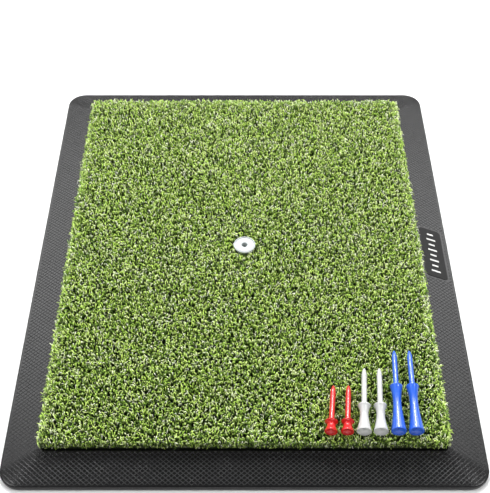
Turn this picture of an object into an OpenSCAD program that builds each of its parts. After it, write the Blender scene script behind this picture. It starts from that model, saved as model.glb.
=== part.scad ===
// Golf hitting mat: bevelled base tray with a turf insert, a centre tee holder and six loose castle tees.
// Units are millimetres. The mat lies in XY centred on the origin, its front edge faces -Y, and Z is up.

/* [Base tray] */
// overall width of the mat along X
mat_width = 406; // [300:1:600]
// overall length of the mat along Y
mat_length = 508; // [400:1:800]
// corner radius of the outer edge
outer_corner_radius = 19; // [5:0.5:40]
// height of the tray's underside above the floor
tray_lift = 0.4; // [0.2:0.1:1]
// height of the top of the upright outer wall
wall_top = 4.4; // [3:0.1:8]
// height of the bevel's inner edge
bevel_top = 9.8; // [6:0.1:15]
// width of the bevelled border, seen from above
border_width = 32.5; // [20:0.5:50]
// width of the flat lip at the bevel's inner edge
lip_width = 1.2; // [0.5:0.1:3]
// height of the recess floor inside the border
recess_floor = 4; // [3:0.1:6]
// corner radius of the recess
recess_corner_radius = 4; // [1:0.5:15]
// size of the rounded edges on the outer wall
wall_edge = 1; // [0.4:0.1:2]

/* [Grip sheet] */
// thickness of the non-slip sheet under the tray
grip_thickness = 1.4; // [1:0.1:3]
// distance from the mat's outer edge to the edge of the grip sheet
grip_inset = 8; // [4:0.5:20]
// corner radius of the grip sheet
grip_corner_radius = 12; // [3:0.5:30]

/* [Turf insert] */
// gap between the insert and the recess wall
insert_gap = 1; // [0.3:0.1:3]
// thickness of the foam shock pad
pad_thickness = 4; // [2:0.1:8]
// thickness of the turf's woven and latexed backing
backing_thickness = 2; // [1:0.1:4]
// height of the pile above its backing
pile_height = 12; // [6:0.5:20]
// size of the pile's softened top edge
pile_edge = 2.5; // [1:0.1:5]
// radius of the hole punched through the insert for the tee holder
insert_hole_radius = 6.4; // [5:0.1:10]

/* [Tee holder] */
// radius of the tee bore
tee_bore_radius = 2.6; // [2:0.05:4]
// radius of the bore's lead-in at the top face
lead_in_radius = 3.1; // [2.5:0.05:5]
// radius of the white top disc
disc_radius = 10.6; // [8:0.1:20]
// thickness of the top disc, without its rim
disc_thickness = 1.6; // [1:0.1:4]
// width of the raised rim round the top disc
disc_rim_width = 1; // [0.5:0.1:2]
// height of the raised rim above the top disc
disc_rim_height = 0.3; // [0.2:0.1:1]
// width of the groove inside the rim
disc_groove_width = 0.6; // [0.3:0.1:1.5]
// depth of the groove inside the rim
disc_groove_depth = 0.4; // [0.2:0.1:1]
// radius of the sleeve that passes down through the mat
sleeve_radius = 6; // [4:0.1:9]
// radius of the sleeve's stepped lower end
spigot_radius = 5.4; // [3.5:0.1:8]
// radius of the retaining washer under the tray
retainer_radius = 12; // [9:0.5:20]

/* [Label] */
// length of the label along the right border
label_length = 64; // [30:1:100]
// distance of the label's middle from the mat's middle, towards the back
label_offset = 2; // [-150:1:150]
// width of the label across the bevel
label_width = 21.2; // [10:0.5:26]
// sideways lean of the label's slanted ends
label_lean = 6; // [0:0.5:12]
// thickness of the label
label_thickness = 0.8; // [0.5:0.1:2]
// depth of the pocket that the label is bonded into
label_pocket_depth = 0.4; // [0.2:0.1:1]
// height of the raised bars on the label
mark_height = 0.3; // [0.1:0.05:0.6]
// number of raised bars on the label
mark_count = 8; // [3:1:14]
// width of one raised bar
mark_width = 1.9; // [1:0.1:6]

/* [Castle tees] */
// overall length of the red tee
red_length = 46.5; // [40:0.5:60]
// height of the red castle, from cup rim to stop flange
red_castle = 10.5; // [8:0.5:20]
// overall length of the white tee
white_length = 64; // [55:0.5:75]
// height of the white castle, from cup rim to stop flange
white_castle = 26; // [20:0.5:40]
// overall length of the blue tee
blue_length = 82.5; // [70:0.5:100]
// height of the blue castle, from cup rim to stop flange
blue_castle = 45; // [40:0.5:60]
// radius of the red tee's cup rim
red_cup_radius = 5.3; // [4:0.1:8]
// radius of the white tee's cup rim
white_cup_radius = 6.1; // [4:0.1:8]
// radius of the blue tee's cup rim
blue_cup_radius = 6.3; // [4:0.1:8]
// radius of the stop flange at the stem end of a castle
flange_radius = 5.5; // [4:0.1:8]
// radius of the castle's waist
waist_radius = 3.5; // [3:0.05:5]
// radius of the stem
stem_radius = 2.3; // [1.8:0.05:2.5]
// length of the pointed tip
tip_length = 7.5; // [4:0.5:12]
// depth of the dish that the ball sits in
cup_depth = 2.6; // [1.5:0.1:3.5]
// wall left between the dish and the cup rim
cup_wall = 0.9; // [0.5:0.1:1.5]
// height of a resting tee above the pile
tee_clearance = 0.4; // [0.3:0.05:2]
// distance from the mat's centre to the cup rims, towards the front
tee_row_offset = 216; // [150:1:220]

/* [Hidden] */
curve_facets = 96;
corner_facets = 32;
joint_margin = 0.01;
pad_floor = recess_floor;
backing_floor = pad_floor + pad_thickness;
pile_floor = backing_floor + backing_thickness;
pile_top = pile_floor + pile_height;
insert_width = mat_width - 2 * border_width;
insert_length = mat_length - 2 * border_width;
turf_width = insert_width - 2 * insert_gap;
turf_length = insert_length - 2 * insert_gap;
disc_top = pile_top;
disc_floor = disc_top - disc_thickness;
disc_pocket_radius = disc_radius + 0.6;
tray_hole_radius = sleeve_radius + 0.05;
bevel_run = border_width - lip_width - wall_edge;
bevel_rise = bevel_top - wall_top - wall_edge / 2;
bevel_angle = atan(bevel_rise / bevel_run);
bevel_middle_x = mat_width / 2 - wall_edge - bevel_run / 2;
bevel_middle_z = wall_top + wall_edge / 2 + bevel_rise / 2;
cup_flare_share = 0.62;
flange_flare_share = 0.34;
flare_steps = 8;

// a flat plate with rounded corners, centred on the Z axis
module rounded_plate(width, length, radius, floor_z, height) {
    translate([0, 0, floor_z])
        linear_extrude(height = height)
            offset(r = radius, $fn = corner_facets)
                square([width - 2 * radius, length - 2 * radius], center = true);
}

// a thin level slice of the tray's outline, drawn in from the outer edge
module tray_slice(inset, floor_z) {
    rounded_plate(mat_width - 2 * inset, mat_length - 2 * inset,
                  max(outer_corner_radius - inset, recess_corner_radius), floor_z, joint_margin);
}

// a plain round hole or plug on the Z axis
module centre_round(radius, floor_z, top_z) {
    translate([0, 0, floor_z])
        cylinder(r = radius, h = top_z - floor_z, $fn = curve_facets);
}

// puts its children at the label's place on the right-hand bevel, with X pointing down the slope
module on_right_bevel() {
    translate([bevel_middle_x, label_offset, bevel_middle_z])
        rotate([0, bevel_angle, 0])
            children();
}

// the label's slanted outline, with its reading direction along Y
module label_outline(margin) {
    half_width = label_width / 2 + margin;
    half_length = label_length / 2 + margin;
    lean = label_lean / 2;
    polygon([[-half_width, -half_length + lean], [half_width, -half_length - lean],
             [half_width, half_length - lean], [-half_width, half_length + lean]]);
}

// one slanted bar of the label's plain pattern
module label_bar(position, reach) {
    lean = label_lean * reach / label_width;
    translate([0, position, 0])
        linear_extrude(height = mark_height)
            polygon([[-reach / 2, -mark_width / 2 + lean / 2], [reach / 2, -mark_width / 2 - lean / 2],
                     [reach / 2, mark_width / 2 - lean / 2], [-reach / 2, mark_width / 2 + lean / 2]]);
}

module grip_sheet() {
    color("#1c1d1f")
    difference() {
        rounded_plate(mat_width - 2 * grip_inset, mat_length - 2 * grip_inset,
                      grip_corner_radius, 0, grip_thickness);
        centre_round(retainer_radius + 1, -1, grip_thickness + 1);
    }
}

module base_tray() {
    color("#4a4b4d")
    difference() {
        hull() {
            tray_slice(wall_edge, tray_lift);
            tray_slice(0, tray_lift + wall_edge);
            tray_slice(0, wall_top - wall_edge / 2);
            tray_slice(wall_edge, wall_top + wall_edge / 2 - joint_margin);
            tray_slice(border_width - lip_width, bevel_top - joint_margin);
        }
        rounded_plate(insert_width, insert_length, recess_corner_radius, recess_floor, bevel_top);
        rounded_plate(mat_width - 2 * grip_inset + 0.4, mat_length - 2 * grip_inset + 0.4,
                      grip_corner_radius, tray_lift - 1, grip_thickness - tray_lift + 1);
        centre_round(tray_hole_radius, -1, bevel_top);
        on_right_bevel()
            translate([0, 0, -label_pocket_depth])
                linear_extrude(height = bevel_top)
                    label_outline(0.2);
    }
}

module label_plate() {
    color("#3a3a39")
    on_right_bevel() {
        translate([0, 0, -label_pocket_depth])
            linear_extrude(height = label_thickness)
                label_outline(0);
        translate([0, 0, label_thickness - label_pocket_depth])
            for (step = [0 : mark_count - 1]) {
                pitch = label_length * 0.76 / (mark_count - 1);
                label_bar((step - (mark_count - 1) / 2) * pitch, label_width * (step % 2 == 0 ? 0.41 : 0.28));
            }
    }
}

module shock_pad() {
    color("#26282b")
    difference() {
        rounded_plate(turf_width, turf_length, recess_corner_radius, pad_floor, pad_thickness);
        centre_round(insert_hole_radius, pad_floor - 1, backing_floor + 1);
    }
}

module turf_backing() {
    color("#202321")
    difference() {
        rounded_plate(turf_width, turf_length, recess_corner_radius, backing_floor, backing_thickness);
        centre_round(insert_hole_radius, backing_floor - 1, pile_floor + 1);
    }
}

module turf_pile() {
    color("#78934f")
    difference() {
        hull() {
            rounded_plate(turf_width, turf_length, recess_corner_radius, pile_floor, pile_height - pile_edge);
            rounded_plate(turf_width - 2 * pile_edge, turf_length - 2 * pile_edge,
                          recess_corner_radius, pile_floor, pile_height);
        }
        centre_round(insert_hole_radius, pile_floor - 1, pile_top + 1);
        centre_round(disc_pocket_radius, disc_floor, pile_top + 1);
    }
}

module tee_holder() {
    groove_outer = disc_radius - disc_rim_width;
    groove_inner = groove_outer - disc_groove_width;
    rim_top = disc_top + disc_rim_height;
    color("#f4f4f2")
    rotate_extrude($fn = curve_facets)
        polygon([[tee_bore_radius, tray_lift], [spigot_radius, tray_lift],
                 [spigot_radius, grip_thickness], [sleeve_radius, grip_thickness],
                 [sleeve_radius, disc_floor], [disc_radius - 0.3, disc_floor],
                 [disc_radius, disc_floor + 0.3], [disc_radius, rim_top - 0.25],
                 [disc_radius - 0.25, rim_top], [groove_outer, rim_top],
                 [groove_outer, disc_top - disc_groove_depth], [groove_inner, disc_top - disc_groove_depth],
                 [groove_inner, disc_top], [lead_in_radius, disc_top],
                 [tee_bore_radius, disc_top - (lead_in_radius - tee_bore_radius)]]);
}

module tee_holder_retainer() {
    color("#d9d9d6")
    difference() {
        centre_round(retainer_radius, tray_lift, grip_thickness);
        centre_round(spigot_radius, tray_lift - 1, grip_thickness + 1);
    }
}

// eases from 0 to 1 along the flare towards the cup rim
function cup_flare(share) = pow(share, 1.5);

// eases from 0 to 1 along the flare towards the stop flange
function flange_flare(share) = pow(share, 2.1);

// one castle tee standing on its cup rim with its point up
module castle_tee(overall, castle, cup_radius) {
    lip = 1;
    flange = 0.8;
    cup_run = (castle - lip) * cup_flare_share;
    flange_run = (castle - flange) * flange_flare_share;
    cup_curve = [for (step = [0 : flare_steps])
        [waist_radius + (cup_radius - waist_radius) * cup_flare(1 - step / flare_steps),
         lip + cup_run * step / flare_steps]];
    flange_curve = [for (step = [0 : flare_steps])
        [waist_radius + (flange_radius - waist_radius) * flange_flare(step / flare_steps),
         castle - flange - flange_run * (1 - step / flare_steps)]];
    dish_radius = cup_radius - cup_wall;
    dish = [for (step = [0 : flare_steps])
        [dish_radius * sin(90 * step / flare_steps), cup_depth * cos(90 * step / flare_steps)]];
    tip = [[stem_radius, overall - tip_length], [stem_radius * 0.77, overall - tip_length * 0.5],
           [stem_radius * 0.35, overall - tip_length * 0.1], [0, overall]];
    rotate_extrude($fn = curve_facets)
        polygon(concat(dish, [[cup_radius - 0.3, 0], [cup_radius, 0.3]], cup_curve, flange_curve,
                       [[flange_radius, castle - 0.2], [flange_radius - 0.2, castle],
                        [stem_radius, castle]], tip));
}

// lays a castle tee on the pile with its cup towards the front, turned clockwise seen from above
module laid_tee(across, turn, overall, castle, cup_radius) {
    translate([across, -tee_row_offset, pile_top + tee_clearance + max(cup_radius, flange_radius)])
        rotate([-90, 0, -turn])
            castle_tee(overall, castle, cup_radius);
}

module red_tee_1() {
    color("#d81a20")
    laid_tee(71.4, 6, red_length, red_castle, red_cup_radius);
}

module red_tee_2() {
    color("#d81a20")
    laid_tee(85.1, 5.1, red_length, red_castle, red_cup_radius);
}

module white_tee_1() {
    color("#f2f2f0")
    laid_tee(98.9, 4.6, white_length, white_castle, white_cup_radius);
}

module white_tee_2() {
    color("#f2f2f0")
    laid_tee(112.9, 3.7, white_length, white_castle, white_cup_radius);
}

module blue_tee_1() {
    color("#2d62e0")
    laid_tee(127.6, 2.9, blue_length, blue_castle, blue_cup_radius);
}

module blue_tee_2() {
    color("#2d62e0")
    laid_tee(142.2, 2, blue_length, blue_castle, blue_cup_radius);
}

grip_sheet();
base_tray();
label_plate();
shock_pad();
turf_backing();
turf_pile();
tee_holder();
tee_holder_retainer();
red_tee_1();
red_tee_2();
white_tee_1();
white_tee_2();
blue_tee_1();
blue_tee_2();
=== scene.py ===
"""Looks of a golf hitting mat: turf in a bevelled rubber tray, a centre tee holder and six castle tees.

Lengths are metres in the CAD's frame: the mat is centred on the origin, its front edge faces -Y, Z is up.
"""
import math

import bpy
import numpy as np
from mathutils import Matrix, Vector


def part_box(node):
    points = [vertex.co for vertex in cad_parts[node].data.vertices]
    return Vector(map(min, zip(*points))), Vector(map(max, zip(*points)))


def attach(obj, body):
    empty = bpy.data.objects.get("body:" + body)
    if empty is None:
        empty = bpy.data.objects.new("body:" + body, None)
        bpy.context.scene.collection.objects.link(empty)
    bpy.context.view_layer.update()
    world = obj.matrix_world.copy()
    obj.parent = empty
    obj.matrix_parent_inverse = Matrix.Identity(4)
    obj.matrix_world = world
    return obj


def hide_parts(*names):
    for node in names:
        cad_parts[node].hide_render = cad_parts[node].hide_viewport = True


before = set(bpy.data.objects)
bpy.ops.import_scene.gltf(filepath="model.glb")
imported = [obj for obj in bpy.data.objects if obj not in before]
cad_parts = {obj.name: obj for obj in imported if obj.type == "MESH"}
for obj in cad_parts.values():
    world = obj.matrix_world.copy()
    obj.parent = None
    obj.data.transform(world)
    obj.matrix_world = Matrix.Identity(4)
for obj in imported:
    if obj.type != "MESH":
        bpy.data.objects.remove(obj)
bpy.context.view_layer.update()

MM = 0.001
SEED = 20
MAT = "mat"  # the body that everything but the tees rides on

# ---------------------------------------------------------------- sizes

TRAY_LOW, TRAY_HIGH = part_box("base_tray")
PILE_LOW, PILE_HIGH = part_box("turf_pile")
GRIP_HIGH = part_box("grip_sheet")[1]
BACKING_LOW, BACKING_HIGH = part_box("turf_backing")
PAD_LOW, PAD_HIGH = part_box("shock_pad")
HOLDER_LOW, HOLDER_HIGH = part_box("tee_holder")
RETAINER_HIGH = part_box("tee_holder_retainer")[1]

BORDER = 32.5 * MM  # width of the tray's border, seen from above
LIP = 1.2 * MM  # flat lip at the top of the bevel
WALL_EDGE = 1.0 * MM  # rounded edges of the outer wall
WALL_TOP = 4.4 * MM
RECESS_RADIUS = 4.0 * MM
OUTER_RADIUS = 19.0 * MM
CORNER_STEPS = 14
GRIP_POCKET = 7.8 * MM  # width of the foot round the grip sheet's pocket
FLOOR_HOLE = 6.05 * MM  # hole through the tray's floor for the tee holder
HALF_WIDTH = TRAY_HIGH.x
HALF_LENGTH = TRAY_HIGH.y

RIB_STEP_X = 4.8 * MM  # size of one diamond across the mat
RIB_STEP_Y = 4.0 * MM  # and along it
RIB_HALF_BASE = 0.46 * MM
RIB_HALF_TOP = 0.24 * MM
RIB_HEIGHT = 0.18 * MM
RIB_END = 1.4 * MM  # length over which a rib dies out at each end
RIB_ROOT = 0.08 * MM  # how far a rib's foot is sunk in the bevel
RIB_OUTER_MARGIN = 1.7 * MM
RIB_INNER_MARGIN = 1.0 * MM
RIB_SAMPLE = 0.25 * MM  # step at which a grid line is tested against the border
RIB_SHORTEST = 1.2 * MM
RIB_STATION = 6 * MM  # longest stretch of a rib between two sections

LABEL_WIDTH = 21.2 * MM
LABEL_LENGTH = 64.0 * MM
LABEL_LEAN = 6.0 * MM
LABEL_Y = 2.0 * MM
LABEL_THICKNESS = 0.8 * MM
LABEL_POCKET = 0.4 * MM
LABEL_MARGIN = 0.9 * MM  # plain border left round the label
MARK_COUNT = 8
MARK_WIDTH = 1.9 * MM

BACKING_HOLE = 6.4 * MM
PAD_HOLE = 6.4 * MM
PAD_CORNER = 3.0 * MM
TUFT_PITCH = 2.6 * MM
ENDS_A_TUFT = 4
EDGE_YARN_ENDS = 9000
NAP_OVERHANG = 2.6 * MM  # how far the pile leans out over the back and side borders
FRONT_OVERHANG = 0.2 * MM
YARN_WIDTH = 0.76 * MM
YARN_RINGS = np.array([0.0, 0.48, 0.76, 1.0])
YARN_TAPER = np.array([0.7, 1.0, 0.95, 0.5])
TILES_ACROSS, TILES_ALONG = 3, 4

# name, clockwise turn in degrees, length over all, castle height and cup rim radius in millimetres
TEES = [
    ("red_tee_1", 6.0, 46.5, 10.5, 5.3, "red_plastic"),
    ("red_tee_2", 5.1, 46.5, 10.5, 5.3, "red_plastic"),
    ("white_tee_1", 4.6, 64.0, 26.0, 6.1, "tee_white_plastic"),
    ("white_tee_2", 3.7, 64.0, 26.0, 6.1, "tee_white_plastic"),
    ("blue_tee_1", 2.9, 82.5, 45.0, 6.3, "blue_plastic"),
    ("blue_tee_2", 2.0, 82.5, 45.0, 6.3, "blue_plastic"),
]
FLANGE_RADIUS = 5.5 * MM
WAIST_RADIUS = 3.5 * MM
STEM_RADIUS = 2.3 * MM
TIP_LENGTH = 7.5 * MM
CUP_DEPTH = 2.6 * MM
CUP_WALL = 0.9 * MM
CUP_FLARE_SHARE = 0.62  # share of the castle that flares to the cup rim
FLANGE_FLARE_SHARE = 0.34  # and to the stop flange

BORE_RADIUS = 2.6 * MM
SLEEVE_RADIUS = 6.0 * MM
SLEEVE_STEP = 5.4 * MM  # the sleeve's radius where the retainer grips it
DISC_RIM = 0.3 * MM
DISC_PLATE = 1.6 * MM  # thickness of the disc
GROOVE_DEPTH = 0.4 * MM

FLOOR_HALF = 1.8


# ---------------------------------------------------------------- materials

def new_material(name, roughness, specular=0.5):
    """A Principled material and its node tree, shader and object-space coordinates."""
    material = bpy.data.materials.new(name)
    material.use_nodes = True
    tree = material.node_tree
    shader = tree.nodes["Principled BSDF"]
    shader.inputs["Roughness"].default_value = roughness
    shader.inputs["Specular IOR Level"].default_value = specular
    place = tree.nodes.new("ShaderNodeTexCoord").outputs["Object"]
    return material, tree, shader, place


def noise(tree, place, scale, detail=3.0, roughness=0.55):
    node = tree.nodes.new("ShaderNodeTexNoise")
    node.inputs["Scale"].default_value = scale
    node.inputs["Detail"].default_value = detail
    node.inputs["Roughness"].default_value = roughness
    tree.links.new(place, node.inputs["Vector"])
    return node.outputs["Fac"]


def ramp(tree, factor, stops):
    """A colour ramp through stops, each a position and a colour."""
    node = tree.nodes.new("ShaderNodeValToRGB")
    elements = node.color_ramp.elements
    while len(elements) < len(stops):
        elements.new(0.5)
    for element, (position, colour) in zip(elements, stops):
        element.position = position
        element.color = (*colour, 1.0)
    tree.links.new(factor, node.inputs["Fac"])
    return node.outputs["Color"]


def bump(tree, shader, height, strength, distance):
    node = tree.nodes.new("ShaderNodeBump")
    node.inputs["Strength"].default_value = strength
    node.inputs["Distance"].default_value = distance
    tree.links.new(height, node.inputs["Height"])
    tree.links.new(node.outputs["Normal"], shader.inputs["Normal"])


def spread(tree, factor, low, high):
    """Maps a factor that stays near its middle onto low to high."""
    node = tree.nodes.new("ShaderNodeMapRange")
    node.inputs["From Min"].default_value = 0.3
    node.inputs["From Max"].default_value = 0.7
    node.inputs["To Min"].default_value = low
    node.inputs["To Max"].default_value = high
    tree.links.new(factor, node.inputs["Value"])
    return node.outputs["Result"]


def rubber_material(name, dark, pale, roughness, specular):
    """Moulded rubber: mottled charcoal with a fine grain and slightly uneven gloss."""
    material, tree, shader, place = new_material(name, roughness, specular)
    cloud = noise(tree, place, 22.0, 4.0)
    tree.links.new(ramp(tree, cloud, [(0.3, dark), (0.7, pale)]), shader.inputs["Base Color"])
    worn = spread(tree, noise(tree, place, 60.0), roughness - 0.02, roughness + 0.02)
    tree.links.new(worn, shader.inputs["Roughness"])
    bump(tree, shader, noise(tree, place, 1900.0, 2.0), 0.35, 0.12 * MM)
    return material


def plastic_material(name, colour, shade, roughness=0.36, coat=0.7):
    """Injection-moulded gloss plastic with faint flow variation and soft surface ripple."""
    material, tree, shader, place = new_material(name, roughness, 0.3)
    shader.inputs["Coat Weight"].default_value = coat
    shader.inputs["Coat Roughness"].default_value = 0.12
    flow = noise(tree, place, 130.0, 2.0)
    tree.links.new(ramp(tree, flow, [(0.3, shade), (0.7, colour)]), shader.inputs["Base Color"])
    uneven = spread(tree, noise(tree, place, 300.0), roughness - 0.05, roughness + 0.06)
    tree.links.new(uneven, shader.inputs["Roughness"])
    bump(tree, shader, noise(tree, place, 420.0, 2.0), 0.12, 0.08 * MM)
    return material


def yarn_material():
    """Turf yarn. Each strand's own U picks its colour, and V is how high it reaches in the pile, which paints
    shade on the lower yarn.
    """
    material, tree, shader, _ = new_material("turf_yarn", 0.5, 0.35)
    strand = tree.nodes.new("ShaderNodeUVMap")
    strand.uv_map = "OFBake"
    parts = tree.nodes.new("ShaderNodeSeparateXYZ")
    tree.links.new(strand.outputs["UV"], parts.inputs["Vector"])
    # each strand's yarn colour, picked at random; the palest, near-white stops are partly painted highlight
    # standing in for glints on the strands
    hues_and_glints = ramp(tree, parts.outputs["X"], [
        (0.00, (0.040, 0.085, 0.016)),
        (0.16, (0.180, 0.330, 0.040)),
        (0.36, (0.480, 0.740, 0.105)),
        (0.60, (0.700, 0.910, 0.205)),
        (0.78, (0.820, 0.950, 0.400)),
        (0.90, (0.930, 0.970, 0.700)),
        (1.00, (0.960, 0.970, 0.920)),
    ])
    # painted shade: the lower a point lies in the pile, the darker its yarn is painted, down to near black at
    # the backing
    painted_shade = ramp(tree, parts.outputs["Y"], [
        (0.00, (0.02, 0.03, 0.02)),
        (0.50, (0.05, 0.06, 0.05)),
        (0.72, (0.22, 0.26, 0.20)),
        (0.88, (1.00, 1.00, 1.00)),
    ])
    mix = tree.nodes.new("ShaderNodeMix")
    mix.data_type = "RGBA"
    mix.blend_type = "MULTIPLY"
    mix.inputs["Factor"].default_value = 1.0
    tree.links.new(hues_and_glints, mix.inputs["A"])
    tree.links.new(painted_shade, mix.inputs["B"])
    tree.links.new(mix.outputs["Result"], shader.inputs["Base Color"])
    return material


def cloth_material():
    """Woven primary backing under a dark latex coat."""
    material, tree, shader, place = new_material("backing_cloth", 0.85, 0.2)
    weave = tree.nodes.new("ShaderNodeTexVoronoi")
    weave.distance = "CHEBYCHEV"
    weave.inputs["Scale"].default_value = 620.0
    weave.inputs["Randomness"].default_value = 0.25
    tree.links.new(place, weave.inputs["Vector"])
    dark_green, latex = (0.008, 0.014, 0.006), (0.022, 0.030, 0.016)
    tree.links.new(ramp(tree, weave.outputs["Distance"], [(0.1, dark_green), (0.6, latex)]),
                   shader.inputs["Base Color"])
    bump(tree, shader, weave.outputs["Distance"], 0.6, 0.3 * MM)
    return material


def foam_material():
    """Closed-cell foam: near-black with small open cells at its cut faces."""
    material, tree, shader, place = new_material("pad_foam", 0.8, 0.25)
    cells = tree.nodes.new("ShaderNodeTexVoronoi")
    cells.inputs["Scale"].default_value = 900.0
    tree.links.new(place, cells.inputs["Vector"])
    # painted shade: the cells' hollows are painted darker than their walls
    shaded_hollow, wall = (0.012, 0.013, 0.014), (0.04, 0.042, 0.045)
    tree.links.new(ramp(tree, cells.outputs["Distance"], [(0.1, shaded_hollow), (0.6, wall)]),
                   shader.inputs["Base Color"])
    bump(tree, shader, cells.outputs["Distance"], 0.5, 0.3 * MM)
    return material


def grip_material():
    """Non-slip rubber sheet with a raised wave pattern."""
    material, tree, shader, place = new_material("grip_rubber", 0.7, 0.3)
    waves = tree.nodes.new("ShaderNodeTexWave")
    waves.inputs["Scale"].default_value = 90.0
    waves.inputs["Distortion"].default_value = 1.5
    tree.links.new(place, waves.inputs["Vector"])
    # painted shade: the wave troughs are painted darker than the crests
    shaded_trough, crest = (0.010, 0.010, 0.011), (0.024, 0.024, 0.026)
    tree.links.new(ramp(tree, waves.outputs["Fac"], [(0.2, shaded_trough), (0.8, crest)]), shader.inputs["Base Color"])
    bump(tree, shader, waves.outputs["Fac"], 0.7, 0.4 * MM)
    return material


def floor_material():
    """Plain pale studio floor, faintly uneven."""
    material, tree, shader, place = new_material("studio_floor", 0.6, 0.3)
    cloud = noise(tree, place, 1.2)
    tree.links.new(ramp(tree, cloud, [(0.3, (0.86, 0.86, 0.86)), (0.7, (0.88, 0.88, 0.88))]),
                   shader.inputs["Base Color"])
    return material


# ---------------------------------------------------------------- mesh helpers

def make_piece(name, points, faces, material, body, node, smooth=True):
    """A mesh object that rides on a body and stands for a CAD node."""
    mesh = bpy.data.meshes.new(name)
    mesh.from_pydata([tuple(p) for p in points], [], [tuple(f) for f in faces])
    mesh.validate()
    piece = bpy.data.objects.new(name, mesh)
    bpy.context.scene.collection.objects.link(piece)
    mesh.materials.append(material)
    mesh.polygons.foreach_set("use_smooth", [smooth] * len(mesh.polygons))
    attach(piece, body)
    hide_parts(node)
    return piece


def weigh_normals(piece):
    """Keeps flat faces flat between their rounded edges."""
    piece.modifiers.new("flat faces", "WEIGHTED_NORMAL").weight = 100


def loft(rings, closed):
    """Faces between rings of equal length, each ring a closed loop; closed joins the last to the first."""
    count, length = len(rings), len(rings[0])
    points = [p for ring in rings for p in ring]
    faces = []
    for i in range(count if closed else count - 1):
        a, b = i * length, (i + 1) % count * length
        for j in range(length):
            k = (j + 1) % length
            faces.append((a + j, a + k, b + k, b + j))
    return points, faces


def filleted(corners, steps=4):
    """A path through corners (across, height, fillet), each corner eased over its fillet length."""
    path = []
    for i, (across, height, fillet) in enumerate(corners):
        here = np.array([across, height])
        if fillet <= 0 or i in (0, len(corners) - 1):
            path.append(tuple(here))
            continue
        before = np.array(corners[i - 1][:2]) - here
        after = np.array(corners[i + 1][:2]) - here
        start = here + before / np.linalg.norm(before) * fillet
        end = here + after / np.linalg.norm(after) * fillet
        for t in np.linspace(0, 1, steps + 1):
            path.append(tuple((1 - t) ** 2 * start + 2 * t * (1 - t) * here + t ** 2 * end))
    return path


def rounded_rectangle(half_width, half_length, radius):
    """Points of a rounded rectangle about the origin, anticlockwise from the right."""
    points = []
    for quarter, (sx, sy) in enumerate([(1, 1), (-1, 1), (-1, -1), (1, -1)]):
        cx, cy = sx * (half_width - radius), sy * (half_length - radius)
        for step in range(CORNER_STEPS + 1):
            turn = math.pi / 2 * (quarter + step / CORNER_STEPS)
            points.append((cx + radius * math.cos(turn), cy + radius * math.sin(turn)))
    return points


def revolve(profile, segments, seam=0.0):
    """Turns a profile of (radius, height) about Z. A seam raises two opposite mould lines."""
    rings = []
    for radius, height in profile:
        ring = []
        for k in range(segments):
            turn = 2 * math.pi * k / segments
            on_seam = k % (segments // 2) == 0
            r = radius + (seam if on_seam and radius > 1.0 * MM else 0.0)
            ring.append((r * math.cos(turn), r * math.sin(turn), height))
        rings.append(ring)
    return rings


# ---------------------------------------------------------------- tray

def corner_radius_at(inset):
    """The outline's corner radius, which shrinks steadily from the outer wall to the recess."""
    share = np.clip((inset - WALL_EDGE) / (BORDER - LIP - WALL_EDGE), 0, 1)
    outer = OUTER_RADIUS - WALL_EDGE
    return outer + (RECESS_RADIUS - outer) * share


def outline(inset):
    """Points of the tray's rounded rectangle, drawn in by inset."""
    return rounded_rectangle(HALF_WIDTH - inset, HALF_LENGTH - inset, float(corner_radius_at(inset)))


def border_profile():
    """The border's section from the grip-sheet pocket, round the outer wall and up the bevel to the recess."""
    top = TRAY_HIGH.z
    return filleted([
        (GRIP_POCKET, GRIP_HIGH.z, 0),
        (GRIP_POCKET, TRAY_LOW.z, 0.3 * MM),
        (0.0, TRAY_LOW.z, 1.0 * MM),
        (0.0, WALL_TOP + 0.35 * MM, 1.3 * MM),
        (BORDER - LIP, top, 0.6 * MM),
        (BORDER, top, 0.4 * MM),
        (BORDER, PAD_LOW.z, 0),
    ], 5)


def tray_shell(material):
    """The tray as one closed moulding: border, recess floor, centre hole and underside pocket."""
    rings = [[(x, y, height) for x, y in outline(inset)] for inset, height in border_profile()]
    bearings = [math.atan2(y, x) for x, y in outline(BORDER)]
    for height in (PAD_LOW.z, GRIP_HIGH.z):
        rings.append([(FLOOR_HOLE * math.cos(b), FLOOR_HOLE * math.sin(b), height) for b in bearings])
    points, faces = loft(rings, True)
    faces = [face[::-1] for face in faces]
    weigh_normals(make_piece("tray_shell", points, faces, material, MAT, "base_tray"))


def inset_of(x, y):
    """How far in from the outer edge each point of the border lies, measured between the tray's outlines."""
    low, high = np.zeros_like(x), np.full_like(x, BORDER + 6 * MM)
    for _ in range(24):
        middle = (low + high) / 2
        r = corner_radius_at(middle)
        qx = np.abs(x) - (HALF_WIDTH - middle - r)
        qy = np.abs(y) - (HALF_LENGTH - middle - r)
        outside = np.hypot(np.maximum(qx, 0), np.maximum(qy, 0)) + np.minimum(np.maximum(qx, qy), 0) > r
        high = np.where(outside, middle, high)
        low = np.where(outside, low, middle)
    return (low + high) / 2


def bevel_height(x, y):
    """Height of the tray's top surface above the border."""
    path = border_profile()
    turn = max(i for i, (inset, _) in enumerate(path) if inset < 1e-9)
    top = path[turn:-1]
    return np.interp(inset_of(x, y), [p[0] for p in top], [p[1] for p in top])


def near_label(x, y):
    """True where the border is under the label or its plain margin."""
    middle = (HALF_WIDTH - WALL_EDGE + HALF_WIDTH - BORDER + LIP) / 2
    across = x - middle
    along = y - LABEL_Y + across * LABEL_LEAN / LABEL_WIDTH
    beside = np.abs(across) < LABEL_WIDTH / 2 + LABEL_MARGIN
    return beside & (np.abs(along) < LABEL_LENGTH / 2 + LABEL_MARGIN)


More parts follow.
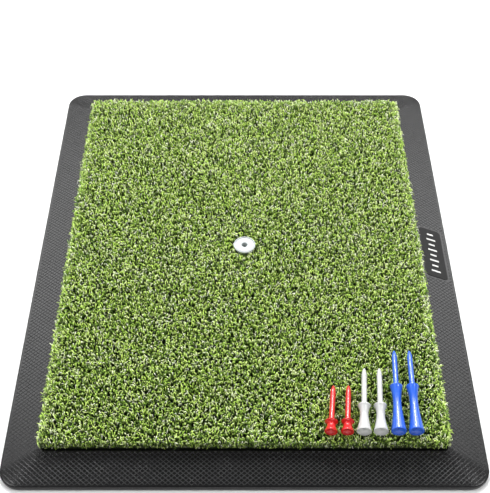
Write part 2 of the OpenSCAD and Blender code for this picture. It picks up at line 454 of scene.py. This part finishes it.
def rib_runs():
    """The stretches of each grid line that lie on the border, as pairs of end points."""
    runs = []
    lean = RIB_STEP_X / RIB_STEP_Y
    count = math.floor((HALF_WIDTH + lean * HALF_LENGTH) / RIB_STEP_X)
    fine = np.arange(-HALF_LENGTH, HALF_LENGTH, RIB_SAMPLE)
    for slope in (lean, -lean):
        for offset in np.arange(-count, count + 1) * RIB_STEP_X:
            y = fine
            x = offset + slope * fine
            inside = np.abs(x) < HALF_WIDTH
            inset = np.where(inside, inset_of(x, y), 0)
            on_border = (inset > RIB_OUTER_MARGIN) & (inset < BORDER - RIB_INNER_MARGIN)
            keep = inside & on_border & ~near_label(x, y)
            edges = np.flatnonzero(np.diff(np.concatenate([[0], keep.astype(int), [0]])))
            for first, last in zip(edges[::2], edges[1::2] - 1):
                if (last - first) * RIB_SAMPLE > RIB_SHORTEST:
                    runs.append(((x[first], y[first]), (x[last], y[last])))
    return runs


def tray_grid(material):
    """The raised diamond grid moulded on the border, one low rounded rib for each run."""
    section = [(-RIB_HALF_BASE, -RIB_ROOT), (-RIB_HALF_TOP, RIB_HEIGHT * 0.62), (0.0, RIB_HEIGHT),
               (RIB_HALF_TOP, RIB_HEIGHT * 0.62), (RIB_HALF_BASE, -RIB_ROOT)]
    across, lift, faces = [], [], []
    for (x0, y0), (x1, y1) in rib_runs():
        length = math.hypot(x1 - x0, y1 - y0)
        steps = max(2, math.ceil(length / RIB_STATION) + 1)
        side = ((y1 - y0) / length, -(x1 - x0) / length)
        first = len(across)
        fade = min(RIB_END / length, 0.45)
        stations = [0.0, *np.linspace(fade, 1 - fade, steps), 1.0]
        for t in stations:
            px, py = x0 + (x1 - x0) * t, y0 + (y1 - y0) * t
            for offset, height in section:
                across.append((px + side[0] * offset, py + side[1] * offset))
                lift.append(height if 0 < t < 1 else -RIB_ROOT)
        size = len(section)
        for s in range(len(stations) - 1):
            a, b = first + s * size, first + (s + 1) * size
            faces += [(a + j, a + (j + 1) % size, b + (j + 1) % size, b + j) for j in range(size)]
        last = first + (len(stations) - 1) * size
        faces += [tuple(range(first, first + size))[::-1], tuple(range(last, last + size))]
    across, lift = np.array(across), np.array(lift)
    heights = bevel_height(across[:, 0], across[:, 1]) + lift
    points = np.column_stack([across, heights])
    make_piece("tray_diamond_grid", points, faces, material, MAT, "base_tray")


# ---------------------------------------------------------------- label

def on_bevel(across, along, rise):
    """A point on the right-hand bevel: across runs down the slope, along runs to the back."""
    run = BORDER - LIP - WALL_EDGE
    climb = TRAY_HIGH.z - WALL_TOP - WALL_EDGE / 2
    slope = math.atan(climb / run)
    x = HALF_WIDTH - WALL_EDGE - run / 2 + across * math.cos(slope) + rise * math.sin(slope)
    z = WALL_TOP + WALL_EDGE / 2 + climb / 2 - across * math.sin(slope) + rise * math.cos(slope)
    return x, LABEL_Y + along, z


def slanted_slab(name, middle, width, length, low, high, ease, material):
    """A slanted bar or plate lying on the bevel, with its top edge eased."""
    lean = LABEL_LEAN / LABEL_WIDTH
    rings = []
    for rise, draw in ((low, 0.0), (high - ease, 0.0), (high - ease * 0.3, ease * 0.3), (high, ease)):
        ring = []
        corner = min(width, length) * 0.16
        reach_x, reach_y = width / 2 - draw, length / 2 - draw
        for sx, sy, swing in ((-1, -1, math.pi), (1, -1, 1.5 * math.pi), (1, 1, 0.0), (-1, 1, 0.5 * math.pi)):
            for step in range(4):
                bit = step / 3 * math.pi / 2
                ax = sx * (reach_x - corner) + corner * math.cos(swing + bit)
                ay = sy * (reach_y - corner) + corner * math.sin(swing + bit)
                ring.append(on_bevel(ax, middle + ay - ax * lean, rise))
        rings.append(ring)
    points, faces = loft(rings, False)
    count = len(rings[0])
    faces.append(tuple(range(count))[::-1])
    faces.append(tuple(range(len(points) - count, len(points))))
    make_piece(name, points, faces, material, MAT, "label_plate", False)


def label(plate_material, mark_material):
    """The badge on the right border, with a generic row of slanted bars in place of its wording."""
    top = LABEL_THICKNESS - LABEL_POCKET
    slanted_slab("label_plate_badge", 0.0, LABEL_WIDTH, LABEL_LENGTH, -LABEL_POCKET, top,
                 0.25 * MM, plate_material)
    pitch = LABEL_LENGTH * 0.76 / (MARK_COUNT - 1)
    for index in range(MARK_COUNT):
        reach = LABEL_WIDTH * (0.41 if index % 2 == 0 else 0.28)
        slanted_slab(f"label_bar_{index + 1}", (index - (MARK_COUNT - 1) / 2) * pitch, reach, MARK_WIDTH,
                     top - 0.1 * MM, top + 0.3 * MM, 0.12 * MM, mark_material)


# ---------------------------------------------------------------- turf

def backing_sheet(material):
    """The turf's backing: a woven sheet lying flat on the pad, its cut edge slightly uneven."""
    rng = np.random.default_rng(SEED + 1)
    rings = []
    half_width, half_length = BACKING_HIGH.x, BACKING_HIGH.y
    bearings = np.linspace(0, 2 * math.pi, 720, endpoint=False) + 1e-4
    scale = np.minimum(half_width / np.abs(np.cos(bearings)), half_length / np.abs(np.sin(bearings)))
    uneven = -np.abs(rng.normal(0, 0.22 * MM, len(bearings)))
    for draw, height in ((0.0, BACKING_LOW.z), (0.0, BACKING_HIGH.z - 0.3 * MM), (0.3 * MM, BACKING_HIGH.z)):
        reach = scale + uneven - draw
        rings.append([(r * math.cos(b), r * math.sin(b), height) for r, b in zip(reach, bearings)])
    for height in (BACKING_HIGH.z, BACKING_LOW.z):
        rings.append([(BACKING_HOLE * math.cos(b), BACKING_HOLE * math.sin(b), height) for b in bearings])
    points, faces = loft(rings, True)
    piece = make_piece("turf_backing_cloth", points, faces, material, MAT, "turf_backing",
                       False)


def foam_pad(material):
    """The shock pad: a foam slab, its top slightly crowned, its cut sides drawn in and its edges eased."""
    # how far each level of the cut side is drawn in, in millimetres, and its share of the height
    profile = [(0.5, 0.0), (0.12, 0.16), (0.34, 0.5), (0.1, 0.84), (0.55, 0.97), (6.0, 1.0)]
    height = PAD_HIGH.z - PAD_LOW.z
    rings = []
    for draw, share in profile:
        edge = rounded_rectangle(PAD_HIGH.x - draw * MM, PAD_HIGH.y - draw * MM, PAD_CORNER)
        rings.append([(x, y, PAD_LOW.z + height * share) for x, y in edge])
    bearings = [math.atan2(y, x) for x, y, _ in rings[0]]
    for share in (1.0, 0.0):
        level = PAD_LOW.z + height * share
        rings.append([(PAD_HOLE * math.cos(b), PAD_HOLE * math.sin(b), level) for b in bearings])
    points, faces = loft(rings, True)
    piece = make_piece("shock_pad_foam", points, faces, material, MAT, "shock_pad")
    weigh_normals(piece)


def yarn_roots(rng):
    """Root points of the yarn ends, gathered in tufts, leaving out those under the white disc."""
    low, high = np.array(PILE_LOW[:2]) + 0.9 * MM, np.array(PILE_HIGH[:2]) - 0.9 * MM
    size = high - low
    across, along = np.round(size / TUFT_PITCH).astype(int)
    gx, gy = np.meshgrid(np.arange(across), np.arange(along))
    tufts = np.column_stack([gx.ravel(), gy.ravel()]) + rng.uniform(0.1, 0.9, (across * along, 2))
    tufts = low + tufts / [across, along] * size
    roots = np.repeat(tufts, ENDS_A_TUFT, axis=0) + rng.normal(0, 0.7 * MM, (len(tufts) * ENDS_A_TUFT, 2))
    roots = np.clip(roots, low, high)
    return roots[np.hypot(roots[:, 0], roots[:, 1]) > HOLDER_HIGH.x + 0.4 * MM]


def yarn_paths(roots, height, reach, heading, droop, rng):
    """Centre lines of curled yarn ends, as an array of ends by rings by three coordinates."""
    count = len(roots)
    t = YARN_RINGS[None, :]
    curl = rng.normal(0, 1.6, count)[:, None]
    turn = heading[:, None] + curl * t
    away = reach[:, None] * t ** 1.3
    fall = droop[:, None] * math.pi
    rise = height[:, None] * np.sin(t * fall) / np.sin(np.minimum(fall, math.pi / 2))
    x = roots[:, :1] + away * np.cos(turn)
    y = roots[:, 1:] + away * np.sin(turn)
    z = PILE_LOW.z - 0.3 * MM + rise
    return np.stack([x, y, np.minimum(z, PILE_HIGH.z + 1.2 * MM)], axis=2)


def inner_yarn(rng):
    """The body of the pile, its ends curling every way."""
    roots = yarn_roots(rng)
    count = len(roots)
    pile = PILE_HIGH.z - PILE_LOW.z
    height = 1.06 - 0.36 * rng.uniform(0, 1, count) ** 1.4
    return yarn_paths(roots, height * pile, rng.uniform(1.0, 4.2, count) * MM,
                      rng.uniform(0, 2 * math.pi, count), rng.uniform(0.48, 0.8, count), rng)


def edge_yarn(rng):
    """Ends that fray outwards from the insert's cut edge, at every height."""
    half = np.array(PILE_HIGH[:2]) - 0.5 * MM
    side = rng.choice(4, EDGE_YARN_ENDS, p=np.array([half[1], half[0], half[1], half[0]]) / (2 * half.sum()))
    along = rng.uniform(-1, 1, EDGE_YARN_ENDS)
    on_end = side % 2 == 1
    sign = np.where(side < 2, 1.0, -1.0)
    roots = np.column_stack([np.where(on_end, along * half[0], sign * half[0]),
                             np.where(on_end, sign * half[1], along * half[1])])
    outward = np.where(on_end, sign * math.pi / 2, np.where(sign > 0, 0.0, math.pi))
    pile = PILE_HIGH.z - PILE_LOW.z
    stray = rng.uniform(0, 1, EDGE_YARN_ENDS) < 0.06
    reach = np.where(stray, rng.uniform(3.0, 4.6, EDGE_YARN_ENDS), rng.uniform(0.6, 2.6, EDGE_YARN_ENDS))
    spreads = ~(on_end & (sign < 0))
    reach = reach + np.where(spreads, NAP_OVERHANG / MM, 0.0)
    height = rng.uniform(0.22, 1.0, EDGE_YARN_ENDS) + np.where(spreads, 0.1, 0.0)
    return yarn_paths(roots, height * pile, reach * MM,
                      outward + rng.normal(0, 0.6, EDGE_YARN_ENDS), rng.uniform(0.5, 0.85, EDGE_YARN_ENDS), rng)


def gather_edges(paths):
    """Draws in the ends that lean out too far past the insert's cut edge; the front is held in most."""
    for axis in (0, 1):
        at_front = (axis == 1) & (paths[..., 1] < 0)
        edge = PILE_HIGH[axis] + np.where(at_front, FRONT_OVERHANG, NAP_OVERHANG)
        beyond = np.maximum(np.abs(paths[..., axis]) - edge, 0)
        paths[..., axis] -= np.sign(paths[..., axis]) * beyond * 0.65
    return paths


def keep_clear_of_disc(paths):
    """Pushes yarn out from under and over the white disc."""
    away = np.hypot(paths[..., 0], paths[..., 1])
    clear = HOLDER_HIGH.x + YARN_WIDTH * 0.6
    push = np.maximum(clear / np.maximum(away, 1e-6), 1.0)
    paths[..., 0] *= push
    paths[..., 1] *= push
    return paths


def keep_clear_of_tees(paths):
    """Presses yarn down under the lying castle tees."""
    for name, turn, _, castle, cup, _ in TEES:
        start, forward, side = tee_axes(name, turn, cup * MM)
        offset = paths - np.array(start)
        along = offset @ np.array(forward)
        beside = np.abs(offset @ np.array(side))
        radius = cup * MM + 0.5 * MM
        under = (along > -1.5 * MM) & (along < castle * MM + 1 * MM) & (beside < radius)
        floor = start[2] - np.sqrt(np.maximum(radius ** 2 - beside ** 2, 0)) - 0.1 * MM
        paths[..., 2] = np.where(under, np.minimum(paths[..., 2], floor), paths[..., 2])
    return paths


def yarn_mesh(name, paths, painted_shade_height, rng, material):
    """One tile of turf: a closed three-sided strand along each path."""
    count, rings, _ = paths.shape
    tangent = np.gradient(paths, axis=1)
    tangent /= np.linalg.norm(tangent, axis=2, keepdims=True)
    side = np.cross(tangent, [0.0, 0.0, 1.0]) + 1e-6
    side /= np.linalg.norm(side, axis=2, keepdims=True)
    face = np.cross(side, tangent)
    twist = (rng.normal(0, 0.5, count)[:, None] + rng.normal(0, 0.7, count)[:, None] * YARN_RINGS)[..., None]
    side, face = side * np.cos(twist) + face * np.sin(twist), face * np.cos(twist) - side * np.sin(twist)
    width = YARN_WIDTH * rng.uniform(0.75, 1.2, count)[:, None, None]
    taper = YARN_TAPER[None, :, None]
    half, thick = side * width * taper / 2, face * width * taper * 0.42
    corners = np.stack([paths - half - thick * 0.3, paths + half - thick * 0.3, paths + thick], axis=2)
    points = corners.reshape(-1, 3)

    tube = []
    for ring in range(rings - 1):
        a, b = ring * 3, ring * 3 + 3
        for j in range(3):
            k = (j + 1) % 3
            tube += [(a + j, a + k, b + k), (a + j, b + k, b + j)]
    tube += [(0, 2, 1), (rings * 3 - 3, rings * 3 - 2, rings * 3 - 1)]
    faces = (np.array(tube)[None] + (np.arange(count) * rings * 3)[:, None, None]).reshape(-1, 3)

    shade = rng.uniform(0.02, 0.98, count)[:, None, None]
    spread_u = np.array([-0.006, 0.006, 0.0])[None, None, :]
    u = np.broadcast_to(shade + spread_u, (count, rings, 3))
    # V carries the painted shade by height
    v = 0.01 + 0.97 * painted_shade_height[..., None] + np.array([0.0, 0.0, 0.006])[None, None, :]
    uv = np.stack([u, np.broadcast_to(v, u.shape)], axis=3).reshape(-1, 2)

    mesh = bpy.data.meshes.new(name)
    mesh.vertices.add(len(points))
    mesh.vertices.foreach_set("co", points.ravel())
    mesh.loops.add(faces.size)
    mesh.loops.foreach_set("vertex_index", faces.ravel())
    mesh.polygons.add(len(faces))
    mesh.polygons.foreach_set("loop_start", np.arange(0, faces.size, 3))
    mesh.polygons.foreach_set("use_smooth", np.ones(len(faces), bool))
    mesh.update(calc_edges=True)
    layer = mesh.uv_layers.new(name="OFBake")
    layer.data.foreach_set("uv", uv[faces.ravel()].ravel())
    mesh.materials.append(material)
    piece = bpy.data.objects.new(name, mesh)
    bpy.context.scene.collection.objects.link(piece)
    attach(piece, MAT)
    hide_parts("turf_pile")


def turf(material):
    """The whole pile, split into tiles so that no mesh is too large."""
    rng = np.random.default_rng(SEED)
    inner, edge = gather_edges(inner_yarn(rng)), edge_yarn(rng)
    paths = keep_clear_of_tees(keep_clear_of_disc(np.concatenate([inner, edge])))
    # painted shade: each point's height in the pile sets how dark its yarn is painted; the frayed edge ends are
    # held lighter
    painted_shade_height = np.clip((paths[..., 2] - PILE_LOW.z) / (PILE_HIGH.z - PILE_LOW.z), 0, 1)
    painted_shade_height[len(inner):] = np.maximum(painted_shade_height[len(inner):], 0.35 + 0.6 * YARN_RINGS)
    roots = paths[:, 0, :2]
    size = np.array(PILE_HIGH[:2]) - np.array(PILE_LOW[:2])
    column = np.clip(((roots[:, 0] - PILE_LOW.x) / size[0] * TILES_ACROSS).astype(int), 0, TILES_ACROSS - 1)
    row = np.clip(((roots[:, 1] - PILE_LOW.y) / size[1] * TILES_ALONG).astype(int), 0, TILES_ALONG - 1)
    for r in range(TILES_ALONG):
        for c in range(TILES_ACROSS):
            here = (row == r) & (column == c)
            yarn_mesh(f"turf_pile_{r + 1}_{c + 1}", paths[here], painted_shade_height[here], rng, material)


# ---------------------------------------------------------------- tee holder

def tee_holder(material):
    """White moulded holder: a rimmed disc with a groove, a shallow dish and the tee bore."""
    top, radius = HOLDER_HIGH.z, HOLDER_HIGH.x
    plate = top - DISC_RIM
    groove_out, groove_in = radius - 1.0 * MM, radius - 1.6 * MM
    path = filleted([
        (BORE_RADIUS, HOLDER_LOW.z, 0),
        (SLEEVE_STEP, HOLDER_LOW.z, 0.2 * MM),
        (SLEEVE_STEP, RETAINER_HIGH.z, 0),
        (SLEEVE_RADIUS, RETAINER_HIGH.z, 0.15 * MM),
        (SLEEVE_RADIUS, plate - DISC_PLATE, 0.5 * MM),
        (radius, plate - DISC_PLATE, 0.3 * MM),
        (radius, top, 0.4 * MM),
        (groove_out, top, 0.2 * MM),
        (groove_out, plate - GROOVE_DEPTH, 0.15 * MM),
        (groove_in, plate - GROOVE_DEPTH, 0.15 * MM),
        (groove_in, plate, 0.15 * MM),
        (BORE_RADIUS + 0.5 * MM, plate, 0.25 * MM),
        (BORE_RADIUS, plate - 0.5 * MM, 0.2 * MM),
        (BORE_RADIUS, HOLDER_LOW.z, 0),
    ], 4)[:-1]
    points, faces = loft(revolve(path, 96), True)
    faces = [face[::-1] for face in faces]
    weigh_normals(make_piece("tee_holder_body", points, faces, material, MAT, "tee_holder"))


# ---------------------------------------------------------------- castle tees

def tee_axes(name, turn, cup):
    """The cup rim's centre, the direction to the point, and the direction to the right of it."""
    low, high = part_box(name)
    angle = math.radians(turn)
    forward = (math.sin(angle), math.cos(angle), 0.0)
    side = (math.cos(angle), -math.sin(angle), 0.0)
    start = (low.x + cup * math.cos(angle), low.y + cup * math.sin(angle), (low.z + high.z) / 2)
    return start, forward, side


def castle_profile(length, castle, cup):
    """Section of a castle tee from the middle of its dish, over the cup rim and down to its point."""
    cup_run = (castle - 1.0 * MM) * CUP_FLARE_SHARE
    flange_run = (castle - 0.8 * MM) * FLANGE_FLARE_SHARE
    dish = [((cup - CUP_WALL) * math.sin(a), CUP_DEPTH * math.cos(a))
            for a in np.linspace(0.22, math.pi / 2, 9)]
    core = [(0.0, CUP_DEPTH + 3.4 * MM), (0.9 * MM, CUP_DEPTH + 3.3 * MM), (1.0 * MM, CUP_DEPTH + 0.1 * MM)]
    rim = [(cup - CUP_WALL + 0.1 * MM, 0.12 * MM), (cup - 0.6 * MM, 0.0), (cup - 0.3 * MM, 0.0),
           (cup - 0.06 * MM, 0.12 * MM), (cup, 0.4 * MM)]
    flare = [(WAIST_RADIUS + (cup - WAIST_RADIUS) * (1 - s) ** 1.5, 1.0 * MM + cup_run * s)
             for s in np.linspace(0, 1, 14)]
    skirt = [(WAIST_RADIUS + (FLANGE_RADIUS - WAIST_RADIUS) * s ** 2.1,
              castle - 0.8 * MM - flange_run * (1 - s)) for s in np.linspace(0, 1, 12)]
    flange = [(FLANGE_RADIUS, castle - 0.3 * MM), (FLANGE_RADIUS - 0.08 * MM, castle - 0.08 * MM),
              (FLANGE_RADIUS - 0.3 * MM, castle), (STEM_RADIUS + 0.45 * MM, castle + 0.02 * MM),
              (STEM_RADIUS + 0.12 * MM, castle + 0.14 * MM), (STEM_RADIUS, castle + 0.5 * MM)]
    shank = [(STEM_RADIUS, length - TIP_LENGTH - 0.6 * MM)]
    tip = [(STEM_RADIUS * math.sqrt(max(1 - s ** 1.3, 0)), length - TIP_LENGTH * (1 - s))
           for s in np.linspace(0, 0.995, 12)]
    return core + dish + rim + flare + skirt + flange + shank + tip + [(0.0, length)]


def castle_tee(name, turn, length, castle, cup, material):
    """One lying tee, turned about its own axis and laid along the CAD tee."""
    start, forward, side = tee_axes(name, turn, cup)
    rings = revolve(castle_profile(length, castle, cup), 64, seam=0.07 * MM)
    start, forward, side = np.array(start), np.array(forward), np.array(side)
    up = np.array([0.0, 0.0, 1.0])
    placed = [[tuple(start + side * x + up * y + forward * z) for x, y, z in ring] for ring in rings]
    points, faces = loft(placed, False)
    piece = make_piece(f"{name}_moulding", points, faces, material, name, name)
    piece.modifiers.new("closed ends", "WELD").merge_threshold = 0.002 * MM


# ---------------------------------------------------------------- studio

def softbox(name, place, width, height, power):
    """A rectangular light aimed at the origin."""
    light = bpy.data.lights.new(name, "AREA")
    light.shape = "RECTANGLE"
    light.size, light.size_y, light.energy = width, height, power
    lamp = bpy.data.objects.new(name, light)
    bpy.context.scene.collection.objects.link(lamp)
    lamp.location = place
    direction = 0.0 - np.array(place)
    flat = math.hypot(direction[0], direction[1])
    lamp.rotation_euler = (math.atan2(flat, -direction[2]), 0.0, math.atan2(-direction[0], direction[1]))


def studio():
    """Pale floor, soft lights and the camera."""
    mesh = bpy.data.meshes.new("studio_floor")
    half = FLOOR_HALF
    corners = [(-half, -half, 0), (half, -half, 0), (half, half, 0), (-half, half, 0)]
    mesh.from_pydata(corners, [], [(0, 1, 2, 3)])
    floor = bpy.data.objects.new("studio_floor", mesh)
    bpy.context.scene.collection.objects.link(floor)
    mesh.materials.append(floor_material())

    softbox("back_softbox", (0.0, 1.6, 1.72), 3.6, 1.2, 73.0)
    softbox("streak_light", (0.0, 1.55, 1.75), 0.3, 0.7, 38.0)
    softbox("front_fill", (0.0, -2.2, 0.95), 1.6, 0.8, 11.0)
    softbox("left_key", (-1.3, -0.1, 2.0), 0.5, 0.5, 19.0)
    softbox("right_key", (1.3, -0.1, 2.0), 0.5, 0.5, 19.0)

    world = bpy.data.worlds.new("studio")
    bpy.context.scene.world = world
    world.use_nodes = True
    tree = world.node_tree
    parts = tree.nodes.new("ShaderNodeSeparateXYZ")
    tree.links.new(tree.nodes.new("ShaderNodeTexCoord").outputs["Generated"], parts.inputs["Vector"])
    walls = ramp(tree, parts.outputs["Z"], [
        (0.06, (0.9, 0.9, 0.9)),
        (0.2, (0.28, 0.28, 0.28)),
        (0.36, (0.12, 0.12, 0.12)),
    ])
    tree.links.new(walls, tree.nodes["Background"].inputs["Color"])
    bpy.context.scene.view_settings.view_transform = "Standard"

    camera_data = bpy.data.cameras.new("photo_camera")
    camera_data.lens, camera_data.sensor_width = 71.4, 36.0
    camera = bpy.data.objects.new("photo_camera", camera_data)
    bpy.context.scene.collection.objects.link(camera)
    camera.location = (0.0005, -0.649, 0.726)
    camera.rotation_euler = (math.radians(42.56), 0.0, 0.0)
    bpy.context.scene.camera = camera


# ---------------------------------------------------------------- build

studio()
tray_rubber = rubber_material("tray_rubber", (0.0032, 0.0032, 0.0034), (0.0045, 0.0045, 0.0047), 0.25, 0.35)
tray_shell(tray_rubber)
# the ribs' rubber is painted lighter than the tray's: a painted highlight standing in for glints along the ribs
tray_grid(rubber_material("grid_rubber_painted_highlight", (0.011, 0.011, 0.0114), (0.014, 0.014, 0.0144), 0.26, 0.35))
label(rubber_material("label_plate", (0.0055, 0.0055, 0.0055), (0.0080, 0.0080, 0.0080), 0.4, 0.14),
      plastic_material("label_marks", (0.62, 0.62, 0.61), (0.56, 0.56, 0.55), 0.4, 0.0))
foam_pad(foam_material())
backing_sheet(cloth_material())
turf(yarn_material())
tee_holder(plastic_material("holder_white", (0.46, 0.49, 0.49), (0.43, 0.46, 0.46), 0.45, 0.0))
TEE_MATERIALS = {
    "red_plastic": plastic_material("tee_red", (0.64, 0.005, 0.008), (0.56, 0.003, 0.006)),
    "tee_white_plastic": plastic_material("tee_white", (0.55, 0.555, 0.55), (0.51, 0.515, 0.51)),
    "blue_plastic": plastic_material("tee_blue", (0.018, 0.115, 0.640), (0.014, 0.095, 0.560)),
}
for name, turn, length, castle, cup, slot in TEES:
    castle_tee(name, turn, length * MM, castle * MM, cup * MM, TEE_MATERIALS[slot])

CAD_MATERIALS = {
    "grip_sheet": grip_material(),
    "tee_holder_retainer": plastic_material("retainer_plastic", (0.70, 0.70, 0.69), (0.64, 0.64, 0.63),
                                            0.4, 0.0),
}
for node, material in CAD_MATERIALS.items():
    node_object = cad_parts[node]
    if not node_object.material_slots:
        node_object.data.materials.append(None)
    for material_slot in node_object.material_slots:
        material_slot.material = material
